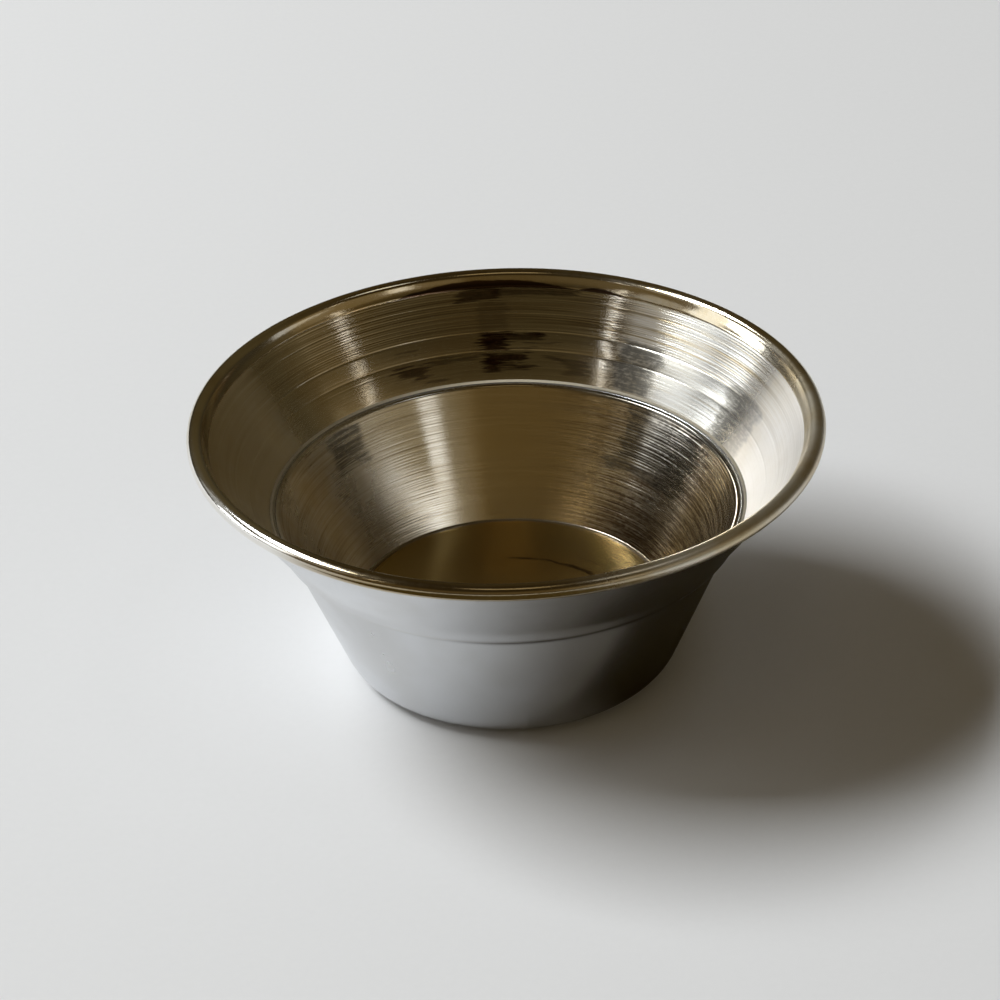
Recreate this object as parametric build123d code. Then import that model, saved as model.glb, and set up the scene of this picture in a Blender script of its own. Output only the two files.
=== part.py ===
from build123d import *
import os
from math import atan2, cos, radians, sin, tan

# Small offering bowl of spun sheet metal with a flared mouth.
# Millimetres, +Z up, origin on the table under the middle of the foot.
# Every piece is a ring or a disc about Z, and a section point is (radius, height).

# Driving dimensions of the mouth
RIM_DIAMETER = 85.0        # across the outside of the rolled lip
HEIGHT = 36.8              # table to the top of the lip
RIM_WIRE = 1.35            # diameter of the wire inside the roll
LIP_LEAN = 30.0            # degrees from upright of the lip's flat band inside the mouth
LIP_FLAT = 1.7             # length of that band, from the roll down to the crease line

# Driving dimensions of the waist, where the collar and both cups overlap
LEDGE_DIAMETER = 61.6      # inner edge of the ledge, which is the cut top of the inner cup
LEDGE_HEIGHT = 23.7        # table to the ledge
SKIRT = 2.3                # how far the collar's skirt hangs below the ledge
BEND_DROP = 0.4            # skirt's edge down to where the base cup parts from the inner cup

# Driving dimensions of the floor and the foot
FLOOR_DIAMETER = 43.4      # corner of the floor and the inner wall
FLOOR_HEIGHT = 7.0         # table to the top of the floor
FLANGE_WIDTH = 3.2         # inner cup's flange under the floor
CUP_GAP = 2.2              # space between the two cups beside that flange
FOOT_WIDTH = 2.0           # flat ring that stands on the table
FOOT_CORNER = 5.0          # outer radius from the wall into the foot
RECESS_FOOT_CORNER = 1.2   # radius from the foot into the recess
RECESS_ROOF_CORNER = 0.9   # radius under the recess roof
RECESS_LEAN = 1.2          # how far the recess wall leans in on its way up

# Driving dimensions of the sheets
INNER_SHEET = 0.5
BASE_SHEET = 0.5
COLLAR_SHEET = 0.6
LIP_SHEET = 0.4
FLOOR_SHEET = 0.8

# Fits and solder
FILM = 0.04                # film between lapped sheets, and around each ring of solder
FLOOR_SEAM = 0.25          # seam around the floor's edge, at its seat, which solder fills
FLOOR_FILLET = 0.35        # height of the solder on the wall above the floor
WAIST_FILLET = 0.45        # leg of the solder on the ledge
RIM_FILLET = 0.45          # leg of the solder under the roll


class Slope:
    """A straight stretch of a section, through two points."""

    def __init__(self, start, end):
        self.start = Vector(*start)
        self.along = (Vector(*end) - self.start).normalized()
        self.square = Vector(self.along.Y, -self.along.X)

    def moved(self, distance):
        """The same slope, moved square to itself towards the right of its direction."""
        start = self.start + self.square * distance
        return Slope(start, start + self.along)

    def at_height(self, height):
        """The point of the slope at a height."""
        return self.start + self.along * ((height - self.start.Y) / self.along.Y)

    def beside(self, point):
        """The point of the slope nearest to another point."""
        return self.start + self.along * (point - self.start).dot(self.along)

    def meets(self, other):
        """The point where this slope crosses another one."""
        step = (other.start - self.start).dot(other.square) / self.along.dot(other.square)
        return self.start + self.along * step


def section(*points):
    """A face with straight sides through the points."""
    return make_face(Polyline(*points, close=True))


def ring(face):
    """The face turned once around Z."""
    return revolve(Plane.XZ * face, Axis.Z)


# Faces of the overlapping sheets at the waist, from the inside out
ledge = Vector(LEDGE_DIAMETER / 2, LEDGE_HEIGHT)
inner_face = Slope((FLOOR_DIAMETER / 2, FLOOR_HEIGHT), ledge)
inner_back = inner_face.moved(INNER_SHEET)
base_face = inner_back.moved(FILM)
base_back = base_face.moved(BASE_SHEET)
skirt_face = base_back.moved(FILM)
skirt_back = skirt_face.moved(COLLAR_SHEET)
skirt_height = LEDGE_HEIGHT - SKIRT
ledge_corner = skirt_face.at_height(LEDGE_HEIGHT)

# Seat of the floor
seat_height = FLOOR_HEIGHT - FLOOR_SHEET
seat_corner = inner_face.at_height(seat_height)
flange_bottom = seat_height - INNER_SHEET
floor_edge = seat_corner.X - FLOOR_SEAM

# Roll of the lip around its wire
wire_radius = RIM_WIRE / 2
bore_radius = wire_radius + FILM
roll_radius = bore_radius + LIP_SHEET
roll_centre = Vector(RIM_DIAMETER / 2 - roll_radius, HEIGHT - roll_radius)

# Flat band of the lip, tangent to the roll, and the collar's top edge behind it
lean = Vector(sin(radians(LIP_LEAN)), cos(radians(LIP_LEAN)))
lip_middle = Slope(roll_centre, roll_centre + lean)
lip_front = lip_middle.moved(-roll_radius)
lip_seat = lip_middle.moved(-bore_radius)
collar_lip = lip_seat.moved(FILM)
collar_lip_back = collar_lip.moved(COLLAR_SHEET)
lip_edge = lip_seat.beside(roll_centre) - lean * LIP_FLAT
collar_top = roll_centre - lean * bore_radius

# Slope of the collar below the lip
crease = collar_lip.beside(lip_edge)
collar_face = Slope(ledge_corner, crease)
collar_back = collar_face.moved(COLLAR_SHEET)


def disc_section(radius):
    """A circle about the middle of the roll."""
    return Pos(roll_centre.X, roll_centre.Y) * Circle(radius)


def make_base_cup():
    """Outer wall, foot and recess in one sheet; the recess roof carries the floor."""
    bend = base_face.at_height(skirt_height - BEND_DROP)
    beside_flange = inner_back.at_height(flange_bottom) + Vector(CUP_GAP, 0)
    wall_back = Slope(bend, beside_flange).moved(-BASE_SHEET)
    wall_foot = wall_back.at_height(0)
    wall_turn = atan2(-wall_back.along.Y, -wall_back.along.X)
    flat_edge = wall_foot.X - FOOT_CORNER * tan(wall_turn / 2)

    roof_height = seat_height - BASE_SHEET
    recess_turn = atan2(roof_height, RECESS_LEAN)
    recess_foot = flat_edge - FOOT_WIDTH - RECESS_FOOT_CORNER * tan(recess_turn / 2)

    outside = [
        base_back.at_height(LEDGE_HEIGHT),
        base_back.meets(wall_back),
        wall_foot,
        Vector(recess_foot, 0),
        Vector(recess_foot - RECESS_LEAN, roof_height),
        Vector(0, roof_height),
    ]
    slopes = [Slope(start, end).moved(BASE_SHEET) for start, end in zip(outside, outside[1:])]
    inside = [
        base_face.at_height(LEDGE_HEIGHT),
        *[slope.meets(after) for slope, after in zip(slopes, slopes[1:])],
        Vector(0, seat_height),
    ]
    outer_radii = [0, FOOT_CORNER, RECESS_FOOT_CORNER, RECESS_ROOF_CORNER]
    turns = [0, -BASE_SHEET, -BASE_SHEET, BASE_SHEET]
    inner_radii = [radius + turn for radius, turn in zip(outer_radii, turns)]
    edges = [
        FilletPolyline(*outside, radius=outer_radii),
        Line(outside[-1], inside[-1]),
        FilletPolyline(*inside, radius=inner_radii),
        Line(inside[0], outside[0]),
    ]
    return ring(make_face(edges))


def make_inner_cup():
    """Lower inner wall, with a flange that carries the floor."""
    flange_edge = seat_corner.X - FLANGE_WIDTH
    return ring(
        section(
            ledge,
            seat_corner,
            (flange_edge, seat_height),
            (flange_edge, flange_bottom),
            inner_back.at_height(flange_bottom),
            inner_back.at_height(LEDGE_HEIGHT),
        )
    )


def make_floor_disc():
    """Flat floor, laid on the inner cup's flange and the base cup's recess roof."""
    return ring(
        section(
            (0, seat_height),
            (floor_edge, seat_height),
            (floor_edge, FLOOR_HEIGHT),
            (0, FLOOR_HEIGHT),
        )
    )


def make_floor_solder():
    """Solder that fills the seam around the floor and rises on the wall."""
    wall = inner_face.moved(-FILM)
    return ring(
        section(
            (floor_edge + FILM, seat_height),
            wall.at_height(seat_height),
            wall.at_height(FLOOR_HEIGHT + FLOOR_FILLET),
            (floor_edge + FILM, FLOOR_HEIGHT),
        )
    )


def make_flared_collar():
    """Upper wall; its skirt laps the base cup and the rim wire sits on its top edge."""
    return ring(
        section(
            skirt_face.at_height(skirt_height),
            ledge_corner,
            crease,
            collar_lip.beside(collar_top),
            collar_lip_back.beside(collar_top),
            collar_back.meets(collar_lip_back),
            skirt_back.meets(collar_back),
            skirt_back.at_height(skirt_height),
        )
    )


def make_waist_solder():
    """Fillet between the ledge and the collar."""
    wall = collar_face.moved(-FILM)
    corner = wall.at_height(LEDGE_HEIGHT)
    return ring(
        section(
            corner,
            corner + wall.along * WAIST_FILLET,
            corner - Vector(WAIST_FILLET, 0),
        )
    )


def make_rim_lip():
    """Polished strip, from the crease line up inside the mouth and rolled over the rim wire."""
    band = section(
        lip_edge,
        lip_seat.beside(roll_centre),
        lip_front.beside(roll_centre),
        lip_front.beside(lip_edge),
    )
    outer_end = collar_lip_back.moved(FILM)
    collar_room = section(
        lip_edge,
        lip_seat.beside(roll_centre),
        outer_end.beside(roll_centre),
        outer_end.beside(lip_edge),
    )
    return ring(disc_section(roll_radius) + band - collar_room - disc_section(bore_radius))


def make_rim_wire():
    """Round wire that stiffens the mouth, inside the roll."""
    return ring(disc_section(wire_radius))


def make_rim_solder():
    """Fillet outside, between the underside of the roll and the collar's back."""
    wall = collar_lip_back.moved(FILM)
    corner = wall.beside(roll_centre - lean * (roll_radius + FILM))
    return ring(
        section(
            corner,
            corner + wall.square * RIM_FILLET,
            corner - wall.along * RIM_FILLET,
        )
    )


nodes = {
    "base_cup": make_base_cup(),
    "inner_cup": make_inner_cup(),
    "floor_disc": make_floor_disc(),
    "floor_solder": make_floor_solder(),
    "flared_collar": make_flared_collar(),
    "waist_solder": make_waist_solder(),
    "rim_lip": make_rim_lip(),
    "rim_wire": make_rim_wire(),
    "rim_solder": make_rim_solder(),
}
os.makedirs("parts", exist_ok=True)
for name, shape in nodes.items():
    export_step(shape, f"parts/{name}.step")
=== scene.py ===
from collections import namedtuple
from functools import cached_property
from math import acos, asin, atan2, ceil, cos, degrees, pi, radians, sin, tan

import bpy
import numpy as np
from mathutils import Matrix, Vector


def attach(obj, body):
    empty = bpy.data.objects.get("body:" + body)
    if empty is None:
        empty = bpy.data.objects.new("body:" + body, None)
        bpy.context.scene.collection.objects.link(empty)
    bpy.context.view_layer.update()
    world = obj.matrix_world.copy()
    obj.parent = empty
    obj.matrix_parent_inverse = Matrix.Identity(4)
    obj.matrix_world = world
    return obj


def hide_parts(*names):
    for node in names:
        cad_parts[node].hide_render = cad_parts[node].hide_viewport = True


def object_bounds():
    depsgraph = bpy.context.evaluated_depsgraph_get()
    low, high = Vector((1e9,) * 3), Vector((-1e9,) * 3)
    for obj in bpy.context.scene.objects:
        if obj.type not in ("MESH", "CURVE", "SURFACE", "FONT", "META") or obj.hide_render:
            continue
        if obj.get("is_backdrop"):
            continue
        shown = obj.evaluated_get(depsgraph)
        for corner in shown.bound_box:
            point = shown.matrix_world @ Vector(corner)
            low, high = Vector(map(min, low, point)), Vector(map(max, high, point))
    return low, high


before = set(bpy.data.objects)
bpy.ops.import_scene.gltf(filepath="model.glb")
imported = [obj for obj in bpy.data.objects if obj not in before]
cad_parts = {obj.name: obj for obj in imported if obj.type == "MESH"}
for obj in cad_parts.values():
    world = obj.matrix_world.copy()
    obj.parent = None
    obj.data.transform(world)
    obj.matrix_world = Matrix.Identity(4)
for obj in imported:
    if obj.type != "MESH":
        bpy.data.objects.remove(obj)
cad_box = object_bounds()

# Small offering bowl of spun sheet metal. Lengths on the bowl are in mm, lengths on the stage in m.
# Every piece is a ring or a disc about Z, and a section point is (radius, height).
MM = 0.001
SEGMENTS = 320  # faces around the bowl
WIRE_SEGMENTS = 160  # faces around the bowl on the hidden wire
WIRE_SIDES = 14  # faces around the wire's own section
ARC_STEP = 12  # degrees of a rounded corner to one more face
SHARP_ANGLE = 38  # degrees between two faces from which their edge is sharp

# Driving dimensions of the mouth, as in the part's source
RIM_DIAMETER = 85.0  # across the outside of the rolled lip
HEIGHT = 36.8  # table to the top of the lip
RIM_WIRE = 1.35  # diameter of the wire inside the roll
LIP_LEAN = 30.0  # degrees from upright of the lip's flat band inside the mouth
LIP_FLAT = 1.7  # length of that band, from the roll down to the crease line

# Driving dimensions of the waist, where the collar and both cups overlap
LEDGE_DIAMETER = 61.6  # inner edge of the ledge
LEDGE_HEIGHT = 23.7  # table to the ledge
SKIRT = 2.3  # how far the collar's skirt hangs below the ledge
BEND_DROP = 0.4  # skirt's edge down to where the base cup parts from the inner cup

# Driving dimensions of the floor and the foot
FLOOR_DIAMETER = 43.4  # corner of the floor and the inner wall
FLOOR_HEIGHT = 7.0  # table to the top of the floor
FLANGE_WIDTH = 3.2  # inner cup's flange under the floor
CUP_GAP = 2.2  # space between the two cups beside that flange
FOOT_WIDTH = 2.0  # flat ring that stands on the table
FOOT_CORNER = 5.0  # outer radius from the wall into the foot
RECESS_FOOT_CORNER = 1.2  # radius from the foot into the recess
RECESS_ROOF_CORNER = 0.9  # radius under the recess roof
RECESS_LEAN = 1.2  # how far the recess wall leans in on its way up

# Driving dimensions of the sheets
INNER_SHEET = 0.5
BASE_SHEET = 0.5
COLLAR_SHEET = 0.6
LIP_SHEET = 0.4
FLOOR_SHEET = 0.8

# Fits and solder; the runs on the floor and the ledge are smaller than the fillets of the solids
FILM = 0.04  # film between lapped sheets, and around each ring of solder
FLOOR_SEAM = 0.25  # seam around the floor's edge, which solder fills
FLOOR_RISE = 0.25  # height of the solder on the wall above the floor
FLOOR_RUN = 0.234  # width of the solder on the floor
FLOOR_HOLLOW = (-0.024, 0.05)  # hollow of that solder, from the corner of the wall and the floor
WAIST_RUN = 0.24  # leg of the solder on the ledge
RIM_RUN = 0.45  # leg of the solder under the roll

# Worn and rounded edges
LIP_ROUND = 0.18  # lower edge of the lip
LEDGE_ROUND = 0.4  # edge of the ledge
BEND_ROUND = 12.0  # bend of the base cup under the skirt, outside
INNER_BEND_ROUND = 0.6  # the same bend, inside
COLLAR_ROUND = 8.0  # bend of the collar above the skirt
SKIRT_ROUND = 0.32  # outer edge of the skirt
LIP_BEND_ROUND = 0.6  # bend of the collar behind the lip
FLANGE_ROUND = 0.3  # bend of the inner cup into its flange
FILED_ROUND = 0.1  # edges that were filed
WORN_ROUND = 0.08  # edges that are a little worn
CREASE_ROUND = 0.06  # collar at the crease line
CUT_ROUND = 0.05  # cut edges that nothing has worn


class Slope:
    """A straight stretch of a section, through two points."""

    def __init__(self, start, end):
        self.start = np.array(start, float)
        self.along = np.array(end, float) - self.start
        self.along /= np.linalg.norm(self.along)
        self.square = np.array([self.along[1], -self.along[0]])

    def moved(self, distance):
        """The same slope, moved square to itself towards the right of its direction."""
        start = self.start + self.square * distance
        return Slope(start, start + self.along)

    def at_height(self, height):
        """The point of the slope at a height."""
        return self.start + self.along * (height - self.start[1]) / self.along[1]

    def beside(self, point):
        """The point of the slope nearest to another point."""
        return self.start + self.along * ((point - self.start) @ self.along)

    def meets(self, other):
        """The point where this slope crosses another one."""
        step = ((other.start - self.start) @ other.square) / (self.along @ other.square)
        return self.start + self.along * step


# Faces of the overlapping sheets at the waist, from the inside out
ledge = np.array([LEDGE_DIAMETER / 2, LEDGE_HEIGHT])
inner_face = Slope((FLOOR_DIAMETER / 2, FLOOR_HEIGHT), ledge)
inner_back = inner_face.moved(INNER_SHEET)
base_face = inner_back.moved(FILM)
base_back = base_face.moved(BASE_SHEET)
skirt_face = base_back.moved(FILM)
skirt_back = skirt_face.moved(COLLAR_SHEET)
skirt_height = LEDGE_HEIGHT - SKIRT
bend_height = skirt_height - BEND_DROP
ledge_corner = skirt_face.at_height(LEDGE_HEIGHT)

# Seat of the floor
seat_height = FLOOR_HEIGHT - FLOOR_SHEET
seat_corner = inner_face.at_height(seat_height)
flange_bottom = seat_height - INNER_SHEET
floor_edge = seat_corner[0] - FLOOR_SEAM

# Roll of the lip around its wire
wire_radius = RIM_WIRE / 2
bore_radius = wire_radius + FILM
roll_radius = bore_radius + LIP_SHEET
roll_centre = np.array([RIM_DIAMETER / 2 - roll_radius, HEIGHT - roll_radius])

# Flat band of the lip, tangent to the roll, and the collar's top edge behind it
lean = np.array([sin(radians(LIP_LEAN)), cos(radians(LIP_LEAN))])
lip_middle = Slope(roll_centre, roll_centre + lean)
lip_front = lip_middle.moved(-roll_radius)
lip_seat = lip_middle.moved(-bore_radius)
collar_lip = lip_seat.moved(FILM)
collar_lip_back = collar_lip.moved(COLLAR_SHEET)
lip_edge = lip_seat.beside(roll_centre) - lean * LIP_FLAT
lip_bottom = lip_front.beside(lip_edge)
collar_top = roll_centre - lean * bore_radius

# Slope of the collar below the lip
crease = collar_lip.beside(lip_edge)
collar_face = Slope(ledge_corner, crease)
collar_back = collar_face.moved(COLLAR_SHEET)


# Lathe meshes

def rounded(before, corner, after, radius):
    """Points of the arc that rounds a corner between its two neighbours."""
    behind = (corner - before) / np.linalg.norm(corner - before)
    ahead = (after - corner) / np.linalg.norm(after - corner)
    turn = acos(np.clip(behind @ ahead, -1, 1))
    way = 1 if behind[0] * ahead[1] > behind[1] * ahead[0] else -1
    inward = way * np.array([-behind[1], behind[0]])
    centre = corner - behind * radius * tan(turn / 2) + inward * radius
    arc = []
    for angle in np.linspace(0, way * turn, 3 + int(degrees(turn) / ARC_STEP)):
        c, s = cos(angle), sin(angle)
        spoke = np.array([c * inward[0] - s * inward[1], s * inward[0] + c * inward[1]])
        arc.append(centre - radius * spoke)
    return arc


def trace(rows, closed=True):
    """Section points of a row of corners, counter-clockwise. Each corner comes with the radius that
    rounds it and the step that divides the side after it. Gives the points, the side that each one
    lies on (-1 in a corner) and how far along it. An open section begins and ends on the axis."""
    corners = [np.array(corner, float) for corner, _, _ in rows]
    count = len(rows)
    arcs = []
    for i, (_, radius, _) in enumerate(rows):
        neighbours = corners[i - 1], corners[i], corners[(i + 1) % count]
        arcs.append(rounded(*neighbours, radius) if radius else [corners[i]])
    points, sides, along = [], [], []
    for i, (_, _, step) in enumerate(rows):
        points += arcs[i]
        sides += [-1] * len(arcs[i])
        along += [0.0] * len(arcs[i])
        if not closed and i == count - 1:
            break
        start, end = arcs[i][-1], arcs[(i + 1) % count][0]
        length = np.linalg.norm(end - start)
        parts = max(1, ceil(length / step))
        for k in range(1, parts):
            points.append(start + (end - start) * k / parts)
            sides.append(i)
            along.append(length * k / parts)
    return np.array(points), np.array(sides), np.array(along)


# A hand-spun bowl is a little out of round and out of level, always within its full size.
# Each wave is a share of the size, a power of the height, a count around the bowl and a turn.
OUT_OF_ROUND = ((0.0012, 2, 2, 0.7), (0.0004, 1, 3, 2.0))
OUT_OF_LEVEL = ((0.0010, 1, 1, 1.1), (0.0007, 2, 3, -0.4))


def warp(x, y, z):
    """Points of a true bowl, moved to where the hand-spun one has them."""
    angle = np.arctan2(y, x)
    height = z / HEIGHT

    def shrunk(waves):
        total = 0
        for share, power, count, turn in waves:
            total = total + share * height**power * (1 + np.cos(count * angle + turn))
        return 1 - total

    return x * shrunk(OUT_OF_ROUND), y * shrunk(OUT_OF_ROUND), z * shrunk(OUT_OF_LEVEL)


def lathe(name, section, relief=None, closed=True, segments=SEGMENTS, second_sides=()):
    """A body of revolution about Z. relief(side, along, angle) moves a surface point outwards, in mm.
    The second sides take the second material of the piece."""
    points, sides, along = section
    count = len(points)
    before = np.roll(points, 1, 0)
    after = np.roll(points, -1, 0)
    if not closed:
        before[0], after[-1] = points[0], points[-1]
    tangent = after - before
    tangent /= np.linalg.norm(tangent, axis=1)[:, None]
    angle = np.arange(segments) * 2 * np.pi / segments
    lift = np.zeros((count, segments))
    if relief:
        for side in set(sides) - {-1}:
            rows = np.flatnonzero(sides == side)
            lift[rows] = relief(side, along[rows][:, None], angle[None, :])
    radius = points[:, 0][:, None] + tangent[:, 1][:, None] * lift
    height = points[:, 1][:, None] - tangent[:, 0][:, None] * lift
    x, y, z = warp(radius * np.cos(angle), radius * np.sin(angle), height)
    grid = np.stack([x, y, z], 2) * MM

    first = 0 if closed else 1
    rings = grid[first:count - first]
    verts = rings.reshape(-1, 3)

    def vertex(row, column):
        return (row - first) % len(rings) * segments + column % segments

    faces, face_sides = [], []
    last_side = -1
    for i in range(first, count - 2 * first):
        k = (i + 1) % count
        side = max(sides[i], sides[k])
        last_side = last_side if side < 0 else side
        for j in range(segments):
            faces.append((vertex(i, j), vertex(i, j + 1), vertex(k, j + 1), vertex(k, j)))
            face_sides.append(last_side)
    if not closed:
        low, high = len(verts), len(verts) + 1
        verts = np.concatenate([verts, grid[0].mean(0)[None], grid[-1].mean(0)[None]])
        for j in range(segments):
            faces.append((low, vertex(1, j + 1), vertex(1, j)))
            face_sides.append(0)
            faces.append((vertex(count - 2, j), vertex(count - 2, j + 1), high))
            face_sides.append(max(sides))

    mesh = bpy.data.meshes.new(name)
    mesh.from_pydata(verts.tolist(), [], faces)
    mesh.shade_smooth()
    mesh.set_sharp_from_angle(angle=radians(SHARP_ANGLE))
    mesh.polygons.foreach_set("material_index", [int(side in second_sides) for side in face_sides])
    mesh.update()
    piece = bpy.data.objects.new(name, mesh)
    bpy.context.scene.collection.objects.link(piece)
    return piece


# Relief

def fade(along, length, edge):
    """1 in the middle of a side, falling to 0 at both ends."""
    t = np.clip(np.minimum(along, length - along) / edge, 0, 1)
    return t * t * (3 - 2 * t)


def wave(angle, rng, low=1, high=5):
    """A slow random wave around the bowl, mostly between -1 and 1."""
    total = 0
    for n in range(low, high + 1):
        total = total + rng.normal() * np.cos(n * angle + rng.uniform(0, 2 * np.pi)) / n
    return total / 2


def near_angle(angle, middle, low, high):
    """1 on the side of the bowl that faces the middle angle, in degrees, and 0 away from it."""
    return np.clip((np.cos(angle - radians(middle)) - low) / (high - low), 0, 1)


def turning_lines(along, angle, rng, start, end, pitch, depth, width):
    """Grooves that a turning tool leaves, side by side from start to end, each fading in and out."""
    lift = np.zeros(np.broadcast(along, angle).shape)
    at = start
    while at < end:
        strength = np.clip(0.75 + 0.6 * wave(angle, rng), 0.1, 1.6)
        wander = 0.03 * wave(angle, rng)
        groove = rng.uniform(*depth) * strength
        lift -= groove * np.exp(-((along - at - wander) / rng.uniform(*width)) ** 2)
        at += rng.uniform(*pitch)
    return lift


def chatter(along, angle, rng, start, end, count, middle, spread, depth, length, width):
    """Short marks along the turning direction, scattered about a middle angle, in radians. Lengths are
    angles too, and a mark is left out where it is too faint to be felt."""
    lift = np.zeros(np.broadcast(along, angle).shape)
    for _ in range(count):
        centre = rng.normal(middle, spread)
        at = rng.uniform(start, end)
        half = rng.uniform(*length)
        gap = (angle[0] - centre + np.pi) % (2 * np.pi) - np.pi
        columns = np.flatnonzero(np.abs(gap) < 2.2 * half)
        lines = np.flatnonzero(np.abs(along[:, 0] - at) < 0.6)
        if not len(columns) or not len(lines):
            continue
        across = np.exp(-((along[lines] - at) / rng.uniform(*width)) ** 2)
        run = np.exp(-((gap[columns][None, :] / half) ** 2))
        lift[np.ix_(lines, columns)] += rng.uniform(*depth) * rng.choice([-1, 1]) * across * run
    return lift


# Pieces. In a row of corners each one has its rounding and the step of the side that follows it.
TURNED_SIDE = 0  # first side of the collar and of the inner cup, which faces inwards
ROOF_SIDE = 0  # first side of the base cup, under its recess
WALL_SIDE = 3  # side of the base cup that is its outer wall
TURNED_STEP = 0.08  # fine enough for turning lines
WALL_RADIUS = 27  # of the lower wall, about half way up
RING_PITCH = 1.9  # from one spinning ring to the next, under the recess
RINGS_END = 13.5  # radius where those rings end

# Places of the collar's two deep lines, as shares of its length from the crease down
DEEP_LINES = (0.475, 0.675)


def collar_relief(side, along, angle):
    """Inside: fine turning lines above, two deep lines, and smoother bulged bands below them."""
    if side != TURNED_SIDE:
        return 0.0
    rng = np.random.default_rng(11)
    length = np.linalg.norm(crease - ledge_corner)
    first, second = (share * length for share in DEEP_LINES)
    lift = turning_lines(
        along, angle, rng, 0.4, first - 0.2, pitch=(0.26, 0.4), depth=(0.006, 0.018), width=(0.08, 0.11)
    )
    lift += turning_lines(
        along, angle, rng, first, length - 0.2, pitch=(0.45, 0.9), depth=(0.001, 0.006), width=(0.1, 0.16)
    )
    for at in (first, second):
        depth = 0.024 + 0.007 * wave(angle, rng)
        lift -= depth * np.exp(-((along - at) / 0.12) ** 2)
    for start, end, rise in ((first, second, 0.025), (second, length, 0.035)):
        t = np.clip((along - start) / (end - start), 0, 1)
        lift += rise * (1 + 0.5 * wave(angle, rng, 2, 6)) * 4 * t * (1 - t)
    return lift * fade(along, length, 0.35)


def make_collar():
    """Upper wall, turned inside and satin outside, with a skirt that laps the base cup."""
    rows = [
        (crease, CREASE_ROUND, TURNED_STEP),
        (ledge_corner, 0, 1),
        (skirt_face.at_height(skirt_height), FILED_ROUND, 1),
        (skirt_back.at_height(skirt_height), SKIRT_ROUND, 0.4),
        (skirt_back.meets(collar_back), COLLAR_ROUND, 0.5),
        (collar_back.meets(collar_lip_back), LIP_BEND_ROUND, 0.5),
        (collar_lip_back.beside(collar_top), CUT_ROUND, 1),
        (collar_lip.beside(collar_top), CUT_ROUND, 0.5),
    ]
    return lathe("flared_collar.turned", trace(rows), collar_relief, second_sides=(2, 3, 4, 5))


def inner_relief(side, along, angle):
    """Turning lines all the way, rougher and with chatter on one side, smoother at the back."""
    if side != TURNED_SIDE:
        return 0.0
    rng = np.random.default_rng(23)
    length = np.linalg.norm(ledge - seat_corner)
    lift = turning_lines(
        along, angle, rng, 0.3, length - 0.6, pitch=(0.28, 0.46), depth=(0.003, 0.010), width=(0.08, 0.12)
    )
    lift *= 1 + 0.9 * near_angle(angle, 22, 0.6, 0.9)
    lift *= 1 - 0.7 * near_angle(angle, 86, 0.86, 0.96)
    lift += chatter(
        along, angle, rng, 0.3, length - 0.8, count=420, middle=radians(24), spread=0.36,
        depth=(0.001, 0.004), length=(2.0 / WALL_RADIUS, 9.0 / WALL_RADIUS), width=(0.08, 0.13),
    )
    return lift * fade(along, length, 0.3)


def make_inner_cup():
    """Lower inner wall, with a flange that carries the floor; its cut top edge is the ledge."""
    flange_edge = seat_corner[0] - FLANGE_WIDTH
    rows = [
        (ledge, LEDGE_ROUND, TURNED_STEP),
        (seat_corner, 0, 2),
        ((flange_edge, seat_height), FILED_ROUND, 1),
        ((flange_edge, flange_bottom), FILED_ROUND, 2),
        (inner_back.at_height(flange_bottom), FLANGE_ROUND, 3),
        (inner_back.at_height(LEDGE_HEIGHT), CUT_ROUND, 1),
    ]
    return lathe("inner_cup.turned", trace(rows), inner_relief, second_sides=(5,))


def base_outside():
    """Corners of the base cup's outside, from the ledge down to the axis."""
    bend = base_face.at_height(bend_height)
    beside_flange = inner_back.at_height(flange_bottom) + (CUP_GAP, 0)
    wall_back = Slope(bend, beside_flange).moved(-BASE_SHEET)
    wall_foot = wall_back.at_height(0)
    wall_turn = atan2(-wall_back.along[1], -wall_back.along[0])
    flat_edge = wall_foot[0] - FOOT_CORNER * tan(wall_turn / 2)
    roof_height = seat_height - BASE_SHEET
    recess_turn = atan2(roof_height, RECESS_LEAN)
    recess_foot = flat_edge - FOOT_WIDTH - RECESS_FOOT_CORNER * tan(recess_turn / 2)
    return [
        base_back.at_height(LEDGE_HEIGHT),
        base_back.meets(wall_back),
        wall_foot,
        (recess_foot, 0),
        (recess_foot - RECESS_LEAN, roof_height),
        (0, roof_height),
    ]


def base_relief(side, along, angle):
    """Slow unevenness of the outer wall and spinning rings under the bowl."""
    if side == WALL_SIDE:
        rng = np.random.default_rng(5)
        _, bend, wall_foot, *_ = base_outside()
        return 0.02 * wave(angle, rng, 2, 5) * fade(along, np.linalg.norm(bend - wall_foot), 6)
    if side == ROOF_SIDE:
        return 0.01 * np.sin(along * 2 * np.pi / RING_PITCH) * fade(along, RINGS_END, 1.5)
    return 0.0


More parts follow.
